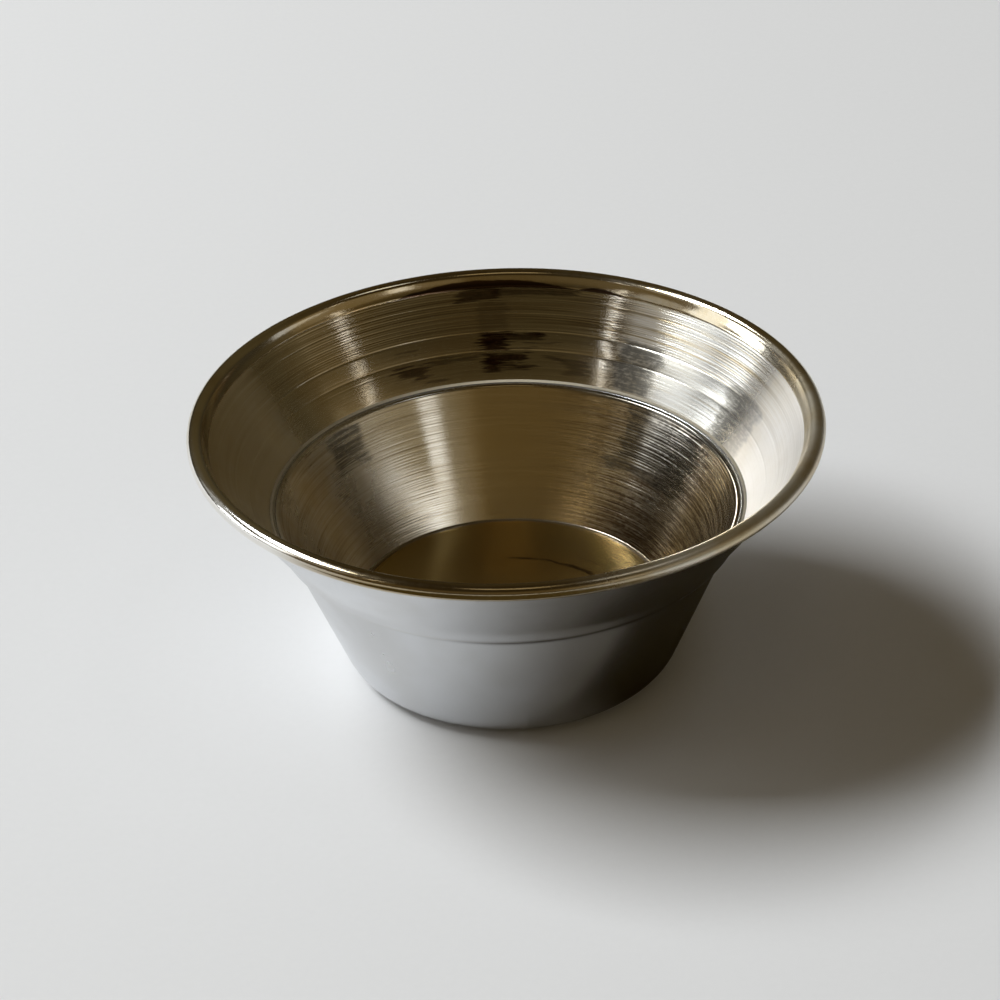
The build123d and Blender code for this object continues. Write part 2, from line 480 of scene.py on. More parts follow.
def make_base_cup():
    """Outer wall, foot and recess in one sheet; the recess roof carries the floor."""
    outside = base_outside()
    slopes = [Slope(start, end).moved(BASE_SHEET) for start, end in zip(outside, outside[1:])]
    inside = [slope.meets(after) for slope, after in zip(slopes, slopes[1:])]
    rows = [
        (outside[5], 0, 0.5),
        (outside[4], RECESS_ROOF_CORNER, 0.6),
        (outside[3], RECESS_FOOT_CORNER, 0.45),
        (outside[2], FOOT_CORNER, 0.5),
        (outside[1], BEND_ROUND, 0.5),
        (outside[0], WORN_ROUND, 1),
        (base_face.at_height(LEDGE_HEIGHT), WORN_ROUND, 1),
        (inside[0], INNER_BEND_ROUND, 2),
        (inside[1], FOOT_CORNER - BASE_SHEET, 2.5),
        (inside[2], RECESS_FOOT_CORNER - BASE_SHEET, 2),
        (inside[3], RECESS_ROOF_CORNER + BASE_SHEET, 3),
        ((0, seat_height), 0, 1),
    ]
    section = trace(rows, closed=False)
    return lathe("base_cup.spun", section, base_relief, closed=False, second_sides=(5,))


def make_floor_disc():
    """Flat floor, laid on the inner cup's flange and the base cup's recess roof."""
    rows = [
        ((0, seat_height), 0, 2),
        ((floor_edge, seat_height), WORN_ROUND, 1),
        ((floor_edge, FLOOR_HEIGHT), FILED_ROUND, 0.6),
        ((0, FLOOR_HEIGHT), 0, 1),
    ]
    return lathe("floor_disc.satin", trace(rows, closed=False), closed=False)


def uneven(seed, size):
    """Relief of an uneven run of solder."""
    def relief(side, along, angle):
        return size * (wave(angle, np.random.default_rng(seed), 3, 24) * 0.6 - 0.5)
    return relief


def make_floor_solder():
    """Solder that fills the seam around the floor and rises on the wall in a hollow."""
    wall = inner_face.moved(-FILM)
    corner = wall.at_height(FLOOR_HEIGHT)
    rows = [
        ((floor_edge + FILM, seat_height), 0, 1),
        (wall.at_height(seat_height), 0, 1),
        (wall.at_height(FLOOR_HEIGHT + FLOOR_RISE), 0.03, 0.1),
        (corner + FLOOR_HOLLOW, 0.15, 0.1),
        (corner - (FLOOR_RUN, 0), 0.3, 0.2),
        ((floor_edge + FILM, FLOOR_HEIGHT), 0, 1),
    ]
    return lathe("floor_solder.run", trace(rows), uneven(seed=3, size=0.02))


def make_waist_solder():
    """Fillet between the ledge and the collar."""
    wall = collar_face.moved(-FILM)
    corner = wall.at_height(LEDGE_HEIGHT)
    rows = [
        (corner - (WAIST_RUN, 0), 0, 1),
        (corner, 0, 1),
        (corner + wall.along * WAIST_RUN, 0, 0.2),
    ]
    return lathe("waist_solder.run", trace(rows), uneven(seed=4, size=0.03))


def make_rim_solder():
    """Fillet outside, between the underside of the roll and the collar's back."""
    wall = collar_lip_back.moved(FILM)
    corner = wall.beside(roll_centre - lean * (roll_radius + FILM))
    rows = [
        (corner - wall.along * RIM_RUN, 0, 1),
        (corner + wall.square * RIM_RUN, 0, 0.2),
        (corner, 0, 1),
    ]
    return lathe("rim_solder.run", trace(rows), uneven(seed=6, size=0.04))


# Sides of the lip: its roll, its flat band, the edge and seat of that band, and the bore of the roll
ROLL, BAND, SEAT, BORE = range(4)
BAND_POINTS = 9


def roll_arc(radius, start, end, count):
    """Points of an arc about the middle of the roll, between two angles in degrees."""
    turn = np.radians(np.linspace(start, end, count))
    return roll_centre + radius * np.stack([np.cos(turn), np.sin(turn)], 1)


def roll_end(radius):
    """Angle where the roll stops outside, against the collar's back, in degrees."""
    off_middle = bore_radius - 2 * FILM - COLLAR_SHEET
    return -90 - LIP_LEAN - degrees(asin(off_middle / radius))


def lip_section():
    """Flat band inside the mouth and the roll around the wire, in one strip."""
    band_turn = 180 - LIP_LEAN
    out = lip_middle.square
    turns = np.radians(np.linspace(0, 90, 6))[:, None]
    edge = lip_bottom + (out + lean - lean * np.sin(turns) - out * np.cos(turns)) * LIP_ROUND
    stretches = [
        (ROLL, roll_arc(roll_radius, roll_end(roll_radius), band_turn, 40)[:-1]),
        (BAND, np.linspace(lip_front.beside(roll_centre), edge[0], BAND_POINTS)),
        (SEAT, edge[1:]),
        (SEAT, np.linspace(lip_edge, lip_seat.beside(roll_centre), 3)[:-1]),
        (BORE, roll_arc(bore_radius, band_turn, roll_end(bore_radius), 30)),
    ]
    points = np.concatenate([points for _, points in stretches])
    sides = np.concatenate([np.full(len(points), side) for side, points in stretches])
    along = np.concatenate([np.arange(len(points)) for _, points in stretches])
    return points, sides, along


def lip_relief(side, along, angle):
    """The band is a little hollow, and uneven around the mouth."""
    if side != BAND:
        return 0.0
    rng = np.random.default_rng(31)
    return -0.05 * np.sin(np.pi * along / (BAND_POINTS - 1)) + 0.006 * wave(angle, rng, 3, 12)


def make_wire():
    """Round wire that stiffens the mouth, inside the roll."""
    points = roll_arc(wire_radius, 0, 360, WIRE_SIDES + 1)[:-1]
    section = (points, np.zeros(WIRE_SIDES, int), np.zeros(WIRE_SIDES))
    return lathe("rim_wire.drawn", section, segments=WIRE_SEGMENTS)


collar = make_collar()
inner_cup = make_inner_cup()
base_cup = make_base_cup()
floor_disc = make_floor_disc()
floor_solder = make_floor_solder()
waist_solder = make_waist_solder()
rim_solder = make_rim_solder()
lip = lathe("rim_lip.rolled", lip_section(), lip_relief)
wire = make_wire()


# Materials

# Where a material is on the bowl: x, y, z in mm, the direction from the axis, and the radius in mm
Place = namedtuple("Place", "x y z east north radius")


class Shader:
    """A Principled material that is built up node by node."""

    def __init__(self, name, sockets):
        self.material = bpy.data.materials.new(name)
        self.material.use_nodes = True
        self.tree = self.material.node_tree
        self.tree.nodes.clear()
        self.bsdf = self.add("ShaderNodeBsdfPrincipled")
        output = self.add("ShaderNodeOutputMaterial")
        self.tree.links.new(self.bsdf.outputs[0], output.inputs[0])
        for socket, value in sockets.items():
            self.bsdf.inputs[socket].default_value = value

    def add(self, kind, **settings):
        node = self.tree.nodes.new(kind)
        for key, value in settings.items():
            setattr(node, key, value)
        return node

    def feed(self, socket, value):
        """Links a socket, or sets it to a number or to a colour of three shares."""
        if isinstance(value, bpy.types.NodeSocket):
            self.tree.links.new(value, socket)
        else:
            socket.default_value = (*value, 1) if isinstance(value, tuple) else value

    def surface(self, colour, rough=None, normal=None):
        """Feeds what the finished surface is made of, and gives the material."""
        self.feed(self.bsdf.inputs["Base Color"], colour)
        if rough is not None:
            self.feed(self.bsdf.inputs["Roughness"], rough)
        if normal is not None:
            self.feed(self.bsdf.inputs["Normal"], normal)
        return self.material

    def fed(self, node, *values):
        """First output of a node, with its first inputs fed."""
        for socket, value in zip(node.inputs, values):
            self.feed(socket, value)
        return node.outputs[0]

    def math(self, operation, *values):
        return self.fed(self.add("ShaderNodeMath", operation=operation), *values)

    def plus(self, a, b):
        return self.math("ADD", a, b)

    def minus(self, a, b):
        return self.math("SUBTRACT", a, b)

    def times(self, a, b):
        return self.math("MULTIPLY", a, b)

    def distance(self, a, b):
        """Distance of a point that lies a one way and b square to it."""
        return self.math("SQRT", self.plus(self.times(a, a), self.times(b, b)))

    def combine(self, x, y, z):
        return self.fed(self.add("ShaderNodeCombineXYZ"), x, y, z)

    def steps(self, value, low, high, to_low=0.0, to_high=1.0):
        """A smooth step from one level to another while the value goes from low to high."""
        node = self.add("ShaderNodeMapRange", interpolation_type="SMOOTHSTEP")
        return self.fed(node, value, low, high, to_low, to_high)

    def mix(self, share, a, b):
        """Colour a, with a share of colour b."""
        node = self.add("ShaderNodeMix", data_type="RGBA")
        self.feed(node.inputs[0], share)
        self.feed(node.inputs[6], a)
        self.feed(node.inputs[7], b)
        return node.outputs[2]

    def bump(self, height, distance, normal=None):
        """Fine relief, with its full height in m."""
        node = self.add("ShaderNodeBump")
        node.inputs["Strength"].default_value = 1.0
        node.inputs["Distance"].default_value = distance
        self.feed(node.inputs["Height"], height)
        if normal is not None:
            self.feed(node.inputs["Normal"], normal)
        return node.outputs[0]

    @cached_property
    def place(self):
        split = self.add("ShaderNodeSeparateXYZ")
        self.feed(split.inputs[0], self.add("ShaderNodeTexCoord").outputs["Object"])
        x, y, z = (self.times(split.outputs[k], 1 / MM) for k in range(3))
        radius = self.math("MAXIMUM", self.distance(x, y), 0.01)
        return Place(x, y, z, self.math("DIVIDE", x, radius), self.math("DIVIDE", y, radius), radius)

    def noise(self, vector, scale, detail, roughness):
        node = self.add("ShaderNodeTexNoise")
        self.feed(node.inputs["Vector"], vector)
        node.inputs["Scale"].default_value = scale
        node.inputs["Detail"].default_value = detail
        node.inputs["Roughness"].default_value = roughness
        return node.outputs["Fac"]

    def clouds(self, scale, detail, roughness, flatter=1.0):
        """Noise through the metal, made flatter than it is wide."""
        x, y, z, *_ = self.place
        return self.noise(self.combine(x, y, self.times(z, flatter)), scale, detail, roughness)

    def lines(self, run, pitch, detail, level=None):
        """Noise drawn out around the axis: run is how fast it changes around, pitch along the level,
        which is the height if it isn't given."""
        level = self.times(self.place.z if level is None else level, pitch)
        vector = self.combine(self.times(self.place.east, run), self.times(self.place.north, run), level)
        return self.noise(vector, 1.0, detail, 0.6)

    def nearness(self, angle):
        """Cosine of the turn about the axis from an angle, in degrees."""
        east, north = cos(radians(angle)), sin(radians(angle))
        return self.plus(self.times(self.place.east, east), self.times(self.place.north, north))

    def towards(self, angle, low, high, share=1.0):
        """A share on the side of the bowl that faces the angle, in degrees, and 0 away from it.
        Low and high are the nearness where it begins and where it is full."""
        return self.steps(self.nearness(angle), low, high, 0.0, share)

    def patch(self, angle, half, low, high, ragged, reach=1.6):
        """1 on a stretch of wall about an angle, in degrees, and between two levels, with ragged edges."""
        bend = self.math("MULTIPLY_ADD", self.nearness(angle), -2.0, 2.0)
        bend = self.math("SQRT", self.math("MAXIMUM", bend, 0.0))
        ends = self.minus(self.times(self.place.radius, radians(half)), self.times(bend, self.place.radius))
        level = self.math("MINIMUM", self.minus(self.place.z, low), self.minus(high, self.place.z))
        noise = self.minus(ragged, 0.5)
        ends = self.math("MULTIPLY_ADD", noise, 4 * reach, ends)
        level = self.math("MULTIPLY_ADD", noise, reach, level)
        return self.times(self.steps(ends, -0.6, 0.8), self.steps(level, -0.1, 0.3))


METAL = {"Metallic": 1.0}
MATT = {"Roughness": 0.9, "Specular IOR Level": 0.0}

SILVER = (0.80, 0.77, 0.71)
BRIGHT = (0.92, 0.90, 0.85)
# Dull tone of the turning lines, also used as painted shade on the lower wall
DULL_AND_SHADE = (0.42, 0.35, 0.23)
WARM = (0.66, 0.58, 0.43)
STAIN = (0.20, 0.14, 0.085)
TARNISH_AND_DARK_REFLECTION = (0.045, 0.016, 0.010)
RUDDY = (0.09, 0.030, 0.020)
SLATE = (0.15, 0.145, 0.13)


class TurnedSilver(Shader):
    """Silver with turning lines around the axis, warm tarnish and small stains."""

    def __init__(self, name):
        super().__init__(name, {**METAL, "Anisotropic": 0.3, "Anisotropic Rotation": 0.25})
        self.warm = self.steps(self.clouds(0.09, 4, 0.6), 0.38, 0.66)
        self.hair = self.lines(2.0, 7.0, 3)
        self.fine = self.lines(5.0, 18.0, 2)
        self.ragged = self.lines(5.0, 0.55, 4)
        self.speckle = self.clouds(1.4, 4, 0.7, flatter=2.0)
        self.plain = self.mix(self.warm, SILVER, WARM)

    def lined(self, colour, strength):
        """The colour with light and dull turning lines of a strength, and with stains over them."""
        cuts = self.lines(1.4, 3.4, 3)
        spots = self.steps(self.clouds(0.35, 5, 0.7, flatter=3.0), 0.66, 0.8)
        colour = self.mix(self.times(self.steps(cuts, 0.52, 0.62, 0.0, 0.45), strength), colour, BRIGHT)
        colour = self.mix(self.times(self.steps(cuts, 0.36, 0.47, 0.6, 0.0), strength), colour, DULL_AND_SHADE)
        colour = self.mix(self.times(self.steps(self.hair, 0.35, 0.5, 0.35, 0.0), strength), colour, DULL_AND_SHADE)
        return self.mix(self.times(spots, 0.6), colour, STAIN)

    def turned(self, colour, *added_roughness):
        """The material, with highlights that are drawn out around the axis."""
        rough = self.plus(self.times(self.warm, 0.05), self.times(self.fine, 0.05))
        rough = self.plus(rough, 0.09)
        for added in added_roughness:
            rough = self.plus(rough, added)
        normal = self.bump(self.hair, 0.000005)
        normal = self.bump(self.fine, 0.0000018, normal)
        tangent = self.add("ShaderNodeTangent", direction_type="RADIAL", axis="Z")
        self.feed(self.bsdf.inputs["Tangent"], tangent.outputs[0])
        return self.surface(colour, rough, normal)


# Tarnish and painted dark reflections on the collar: middle angle and half width in degrees, lowest and
# highest level, share, colour
COLLAR_TARNISH_AND_REFLECTIONS = (
    (92.0, 3.4, 27.2, 29.4, 0.95, TARNISH_AND_DARK_REFLECTION),
    (85.5, 4.4, 28.3, 29.4, 0.75, TARNISH_AND_DARK_REFLECTION),
    (86.0, 3.0, 27.2, 27.7, 0.6, TARNISH_AND_DARK_REFLECTION),
    (89.5, 5.0, 25.9, 27.0, 0.95, TARNISH_AND_DARK_REFLECTION),
    (92.5, 2.2, 24.8, 26.4, 0.9, TARNISH_AND_DARK_REFLECTION),
    (84.0, 2.6, 25.2, 25.7, 0.8, TARNISH_AND_DARK_REFLECTION),
    (78.5, 2.6, 26.2, 26.7, 0.7, TARNISH_AND_DARK_REFLECTION),
    (112.5, 3.8, 25.4, 26.8, 0.75, TARNISH_AND_DARK_REFLECTION),
    (102.0, 6.5, 26.3, 27.0, 0.6, SLATE),
    (88.0, 6.5, 28.9, 29.3, 0.9, TARNISH_AND_DARK_REFLECTION),
    (82.0, 4.0, 28.0, 28.3, 0.6, TARNISH_AND_DARK_REFLECTION),
    (93.5, 2.6, 28.0, 28.6, 0.9, TARNISH_AND_DARK_REFLECTION),
    (87.0, 3.0, 24.9, 25.3, 0.7, TARNISH_AND_DARK_REFLECTION),
    (90.5, 3.6, 25.3, 26.0, 0.8, TARNISH_AND_DARK_REFLECTION),
    (110.5, 1.6, 25.0, 25.4, 0.8, TARNISH_AND_DARK_REFLECTION),
    (114.5, 2.2, 26.4, 26.9, 0.8, TARNISH_AND_DARK_REFLECTION),
    (108.0, 3.0, 24.3, 24.6, 0.6, TARNISH_AND_DARK_REFLECTION),
    (113.0, 2.6, 28.2, 28.6, 0.4, TARNISH_AND_DARK_REFLECTION),
    (72.0, 3.2, 24.6, 26.6, 0.45, SLATE),
    (95.0, 4.5, 33.0, 34.6, 0.8, TARNISH_AND_DARK_REFLECTION),
    (83.0, 9.0, 33.6, 34.6, 0.7, TARNISH_AND_DARK_REFLECTION),
    (92.0, 3.5, 29.6, 33.0, 0.3, TARNISH_AND_DARK_REFLECTION),
)

# Worn patches on the collar: middle angle and half width in degrees, lowest and highest level
COLLAR_WORN = ((57.0, 5.5, 23.8, 30.0), (23.0, 7.5, 23.8, 30.0))
WORN = (0.22, 0.21, 0.185)

# Painted shade, painted light, a painted sheen and other marks on the collar, as Shader.towards takes them,
# and a level, as Shader.steps takes it
COLLAR_SHADE_AND_SOFT = (40, 0.955, 0.99)
COLLAR_LINED = (48, 0.85, 0.97)
COLLAR_HAZY = (176, 0.86, 0.95, 0.24)
COLLAR_PAINTED_LIGHT = (182, 0.80, 0.97, 0.7)
COLLAR_SHEEN_AND_HAZE = (-12, 0.75, 0.98)
FINE_LINES_END = (28.9, 29.5, 0.35, 1.0)
PAINTED_SHADE_GREY = (0.40, 0.405, 0.395)
PAINTED_LIGHT_GOLD = (0.97, 0.88, 0.66)
PAINTED_SHEEN = (0.84, 0.83, 0.83)


def collar_silver(name):
    """Upper wall inside: tarnish and painted dark reflections at the back, painted grey shade over the
    highlight at the right, which is also soft and worn, a painted pale sheen and haze at the far right, and
    painted light at the left.
    """
    s = TurnedSilver(name)
    soft = s.towards(*COLLAR_SHADE_AND_SOFT)
    sheen_and_haze = s.towards(*COLLAR_SHEEN_AND_HAZE)
    lined = s.steps(s.place.z, *FINE_LINES_END)
    lined = s.times(lined, s.plus(s.towards(*COLLAR_LINED), 1.0))
    lined = s.times(lined, s.minus(1.0, s.times(soft, 0.2)))
    # Painted grey shade dims the highlight at the right, where the collar is also rougher
    colour = s.lined(s.mix(s.times(soft, 0.8), s.plain, PAINTED_SHADE_GREY), lined)
    marks = s.lines(9.0, 4.5, 4)
    blotch = s.plus(s.times(marks, 0.5), s.times(s.speckle, 0.5))
    # Tarnish, with painted dark reflections at the back of the collar
    for angle, half, low, high, share, stain in COLLAR_TARNISH_AND_REFLECTIONS:
        mask = s.patch(angle, half, low, high, marks)
        mask = s.times(mask, s.steps(blotch, 0.4, 0.66, share, share * 0.85))
        colour = s.mix(mask, colour, s.mix(s.steps(s.speckle, 0.4, 0.62), stain, RUDDY))
    for patch in COLLAR_WORN:
        mask = s.patch(*patch, s.ragged, 1.3)
        colour = s.mix(s.times(mask, s.steps(blotch, 0.47, 0.58, 1.0, 0.6)), colour, WORN)
    # Painted light at the left of the collar
    colour = s.mix(s.towards(*COLLAR_PAINTED_LIGHT), colour, PAINTED_LIGHT_GOLD)
    # Painted pale sheen at the far right, where the collar is also hazier
    colour = s.mix(s.times(sheen_and_haze, 0.8), colour, PAINTED_SHEEN)
    haze = s.towards(*COLLAR_HAZY)
    return s.turned(colour, haze, s.times(soft, 0.12), s.times(sheen_and_haze, 0.46))


# Marks, painted shade and a painted reflection on the lower wall, as Shader.towards and Shader.patch take
# them, and levels for Shader.steps
WALL_BACK = (86, 0.86, 0.97)
WALL_YELLOWED = (79, 0.82, 0.96, 0.7)
WALL_PALE = (122, 0.90, 0.985, 0.7)
WALL_HAZY = (170, 0.55, 0.95, 0.16)
WALL_STAINED = (25, 0.50, 0.95)
WALL_LOW_STAIN = (38, 0.88, 0.99)
WALL_LEDGE_SHADE = (35, 0.72, 0.92)
WALL_PAINTED_SHADE = (136, 0.92, 0.985)
WALL_WORN_PATCH = (42, 13, 15.0, 23.0)
WALL_PAINTED_REFLECTION = (139, 6.5, 18.2, 23.4)
LOW_STAIN_LEVEL = (8.0, 14.0, 1.0, 0.0)
LEDGE_SHADE_LEVEL = (23.1, 23.4, 0.0, 0.85)
PAINTED_SHADE_LEVEL = (9.0, 18.0, 0.75, 0.0)
YELLOWED = (0.56, 0.42, 0.17)
PALE_SILVER = (0.76, 0.75, 0.71)


def wall_silver(name):
    """Lower wall inside: yellowed at the back, stained and worn at the right with painted shade under the
    ledge there, hazy at the left with a painted dark reflection and painted shade beside the highlight.
    """
    s = TurnedSilver(name)
    back = s.towards(*WALL_BACK)
    stained = s.towards(*WALL_STAINED)
    colour = s.mix(s.towards(*WALL_YELLOWED), s.plain, YELLOWED)
    colour = s.mix(s.towards(*WALL_PALE), colour, PALE_SILVER)
    colour = s.lined(colour, s.minus(0.8, s.times(back, 0.6)))
    ridges = s.lines(3.5, 5.5, 5)
    mottle = s.plus(s.times(ridges, 0.65), s.times(s.speckle, 0.35))
    colour = s.mix(s.times(stained, s.steps(mottle, 0.42, 0.56, 0.85, 0.0)), colour, STAIN)
    worn = s.times(s.patch(*WALL_WORN_PATCH, s.ragged, 3.0), s.steps(mottle, 0.42, 0.6, 1.0, 0.45))
    colour = s.mix(s.times(worn, 0.85), colour, SLATE)
    low = s.times(s.towards(*WALL_LOW_STAIN), s.steps(s.place.z, *LOW_STAIN_LEVEL))
    colour = s.mix(s.times(low, s.steps(mottle, 0.42, 0.62, 0.85, 0.35)), colour, STAIN)
    # Painted shade on the wall just under the ledge, at the right
    ledge_shade = s.times(s.towards(*WALL_LEDGE_SHADE), s.steps(s.place.z, *LEDGE_SHADE_LEVEL))
    colour = s.mix(ledge_shade, colour, SLATE)
    # Painted dark reflection on the wall at the left
    painted_reflection = s.patch(*WALL_PAINTED_REFLECTION, s.ragged, 0.8)
    colour = s.mix(s.times(painted_reflection, s.steps(ridges, 0.46, 0.6, 0.85, 0.1)), colour, SLATE)
    # Painted shade over the reflected glow low on the wall at the left
    dull = s.times(s.towards(*WALL_PAINTED_SHADE), s.steps(s.place.z, *PAINTED_SHADE_LEVEL))
    colour = s.mix(s.times(dull, s.steps(ridges, 0.4, 0.6, 1.0, 0.6)), colour, DULL_AND_SHADE)
    haze = s.towards(*WALL_HAZY)
    return s.turned(colour, haze, s.times(stained, 0.04), s.times(back, 0.04))


SATIN_LIGHT = (0.63, 0.645, 0.665)
SATIN_DARK = (0.57, 0.575, 0.58)
SATIN_STREAK = (0.42, 0.41, 0.39)
GRIME_AND_SHADOW = (0.06, 0.05, 0.04)
SHADOWED_SIDE = (-66, 0.72, 0.95, 0.75)


def satin_silver(name):
    """Outside, with faint upright streaks and a faint line of grime in the bend under the skirt's edge,
    darkened at the front right into a painted shadow.
    """
    s = Shader(name, METAL)
    streaks = s.steps(s.lines(6.0, 0.04, 1), 0.5, 0.75)
    cloud = s.clouds(0.08, 3, 0.5)
    colour = s.mix(s.steps(cloud, 0.35, 0.7), SATIN_LIGHT, SATIN_DARK)
    colour = s.mix(s.times(streaks, 0.06), colour, SATIN_STREAK)
    # Faint grime in the bend, darkened at the front right into a painted shadow under the skirt's edge
    seam = s.steps(s.math("ABSOLUTE", s.minus(s.place.z, bend_height)), 0.2, 1.0, 1.0, 0.0)
    grime_and_shadow = s.plus(s.towards(*SHADOWED_SIDE), 0.15)
    colour = s.mix(s.times(seam, grime_and_shadow), colour, GRIME_AND_SHADOW)
    return s.surface(colour, s.plus(s.times(cloud, 0.06), 0.23))


# Hair-thin scratches on the floor, as arcs: centre, radius, width, and first and last x, in mm
SCRATCHES = (
    (0.0, -5.0, 16.2, 0.26, -1.0, 11.2),
    (0.0, -5.0, 16.2, 0.55, 7.4, 12.0),
    (5.0, 2.5, 9.6, 0.14, 9.0, 13.5),
)
FLOOR_LIGHT = (0.76, 0.58, 0.25)
FLOOR_DARK = (0.68, 0.49, 0.17)
FLOOR_SHADE = (0.36, 0.29, 0.13)
FLOOR_SCRATCH = (0.10, 0.055, 0.018)
FLOOR_PAINTED_SHADE = (30, 0.5, 0.95, 0.7)
FLOOR_PAINTED_SHADE_RADIUS = (8.0, 17.0)


def floor_scratches(s):
    """1 on the scratches, which waver a little."""
    waver = s.times(s.minus(s.clouds(0.5, 3, 0.6), 0.5), 1.2)
    scratches = 0.0
    for x, y, bend, width, start, end in SCRATCHES:
        north = s.minus(s.place.y, y)
        reach = s.distance(s.minus(s.place.x, x), north)
        off = s.math("ABSOLUTE", s.plus(s.minus(reach, bend), waver))
        line = s.steps(off, width * 0.4, width, 1.0, 0.0)
        line = s.times(line, s.steps(north, 0.0, 1.0))
        line = s.times(line, s.steps(s.place.x, start, start + 1.5))
        line = s.times(line, s.steps(s.place.x, end - 1.0, end, 1.0, 0.0))
        scratches = s.math("MAXIMUM", scratches, line)
    return scratches


def floor_silver(name):
    """Flat floor inside, golden, with scratches, a few specks and painted shade towards its right edge."""
    s = Shader(name, METAL)
    grain = s.clouds(7.0, 3, 0.6)
    rings = s.lines(2.0, 3.0, 2, level=s.place.radius)
    scratches = floor_scratches(s)
    specks = s.steps(s.clouds(0.9, 2, 0.5), 0.73, 0.78)
    colour = s.mix(s.steps(s.clouds(0.07, 4, 0.6), 0.3, 0.7), FLOOR_LIGHT, FLOOR_DARK)
    # Painted shade towards the floor's right edge
    shaded_share = s.times(s.towards(*FLOOR_PAINTED_SHADE), s.steps(s.place.radius, *FLOOR_PAINTED_SHADE_RADIUS))
    colour = s.mix(shaded_share, colour, FLOOR_SHADE)
    colour = s.mix(s.times(s.math("MAXIMUM", scratches, specks), 0.9), colour, FLOOR_SCRATCH)
    normal = s.bump(rings, 0.000004)
    normal = s.bump(scratches, -0.00001, normal)
    normal = s.bump(grain, 0.000003, normal)
    return s.surface(colour, s.plus(s.times(grain, 0.06), 0.17), normal)


# Painted black reflection in the crease of the lip: middle angle and half width in degrees, highest level
LIP_DARK_REFLECTION = ((93.5, 20.0, 35.85), (69.3, 5.5, 35.35))

# Painted highlight, painted shade and wear on the lip, as Shader.towards takes them, and its flat band, by
# radius, for Shader.steps
LIP_PAINTED_SHADE = ((-98, 0.8, 0.97, 0.6), (-114, 0.92, 0.985, 0.5), (95, 0.8, 0.97, 0.45))
LIP_PAINTED_HIGHLIGHT = (213, 0.82, 0.95, 0.85)
LIP_WORN = (-30, 0.5, 0.95, 0.26)
LIP_INSIDE = (40.6, 40.9, 1.0, 0.0)
LIP_LIGHT = (0.74, 0.69, 0.58)
LIP_DARK = (0.64, 0.54, 0.36)
LIP_HIGHLIGHT_WHITE = (0.93, 0.92, 0.89)
LIP_SHADE_BROWN = (0.33, 0.25, 0.13)


def polished_silver(name):
    """Polished lip: a painted white highlight at the left, painted brown shade in front and at the back, a
    painted black reflection in its crease at the back, rougher at the right.
    """
    s = Shader(name, METAL)
    grain = s.clouds(1.6, 3, 0.6)
    colour = s.mix(s.steps(s.clouds(0.12, 4, 0.6), 0.35, 0.7), LIP_LIGHT, LIP_DARK)
    # Painted white highlight on the lip at the left
    colour = s.mix(s.towards(*LIP_PAINTED_HIGHLIGHT), colour, LIP_HIGHLIGHT_WHITE)
    # Painted brown shade on the lip in front and at the back
    for side in LIP_PAINTED_SHADE:
        colour = s.mix(s.towards(*side), colour, LIP_SHADE_BROWN)
    ragged = s.times(s.minus(s.lines(14.0, 2.0, 3), 0.5), 0.5)
    inside = s.steps(s.place.radius, *LIP_INSIDE)
    # Painted black reflection in the lip's crease at the back
    for angle, half, top in LIP_DARK_REFLECTION:
        steepness = 2.0 / radians(half) ** 2
        spread = s.math("MULTIPLY_ADD", s.nearness(angle), -steepness, steepness)
        level = s.math("MULTIPLY_ADD", spread, lip_bottom[1] - top, top)
        mask = s.steps(s.plus(s.minus(level, s.place.z), ragged), 0.0, 0.2)
        colour = s.mix(s.times(s.times(mask, inside), 0.92), colour, TARNISH_AND_DARK_REFLECTION)
    rough = s.plus(s.plus(s.times(grain, 0.1), 0.08), s.towards(*LIP_WORN))
    return s.surface(colour, rough, s.bump(grain, 0.000008))


SOLDER_SHADE = (20, 0.2, 0.85)
SOLDER_PAINTED_SHADE = (0.10, 0.09, 0.07)


def solder_metal(name, light, dark, rough, shaded_share=0.0):
    """Grainy metal of the solder and of cut edges, with painted shade at the right."""
    s = Shader(name, METAL)
    grain = s.clouds(2.5, 3, 0.6)
    colour = s.mix(grain, light, dark)
    # Painted shade at the right
    if shaded_share:
        colour = s.mix(s.towards(*SOLDER_SHADE, shaded_share), colour, SOLDER_PAINTED_SHADE)
    return s.surface(colour, s.plus(s.times(grain, 0.2), rough), s.bump(grain, 0.00002))


WIRE_LIGHT = (0.72, 0.62, 0.38)
WIRE_DARK = (0.58, 0.47, 0.27)


def wire_metal(name):
    """Bare drawn wire."""
    s = Shader(name, METAL)
    drawn = s.lines(3.0, 9.0, 2)
    return s.surface(s.mix(drawn, WIRE_LIGHT, WIRE_DARK), s.plus(s.times(drawn, 0.2), 0.2))


turned_collar = collar_silver("turned_silver_collar")
turned_wall = wall_silver("turned_silver_wall")
satin = satin_silver("satin_silver")
solder = solder_metal("solder", (0.58, 0.53, 0.44), (0.42, 0.36, 0.27), 0.12)
ledge_metal = solder_metal("ledge_metal", (0.62, 0.56, 0.44), (0.48, 0.43, 0.33), 0.52, shaded_share=0.75)
edge_metal = solder_metal("edge_metal", (0.72, 0.68, 0.58), (0.56, 0.52, 0.42), 0.34, shaded_share=0.92)

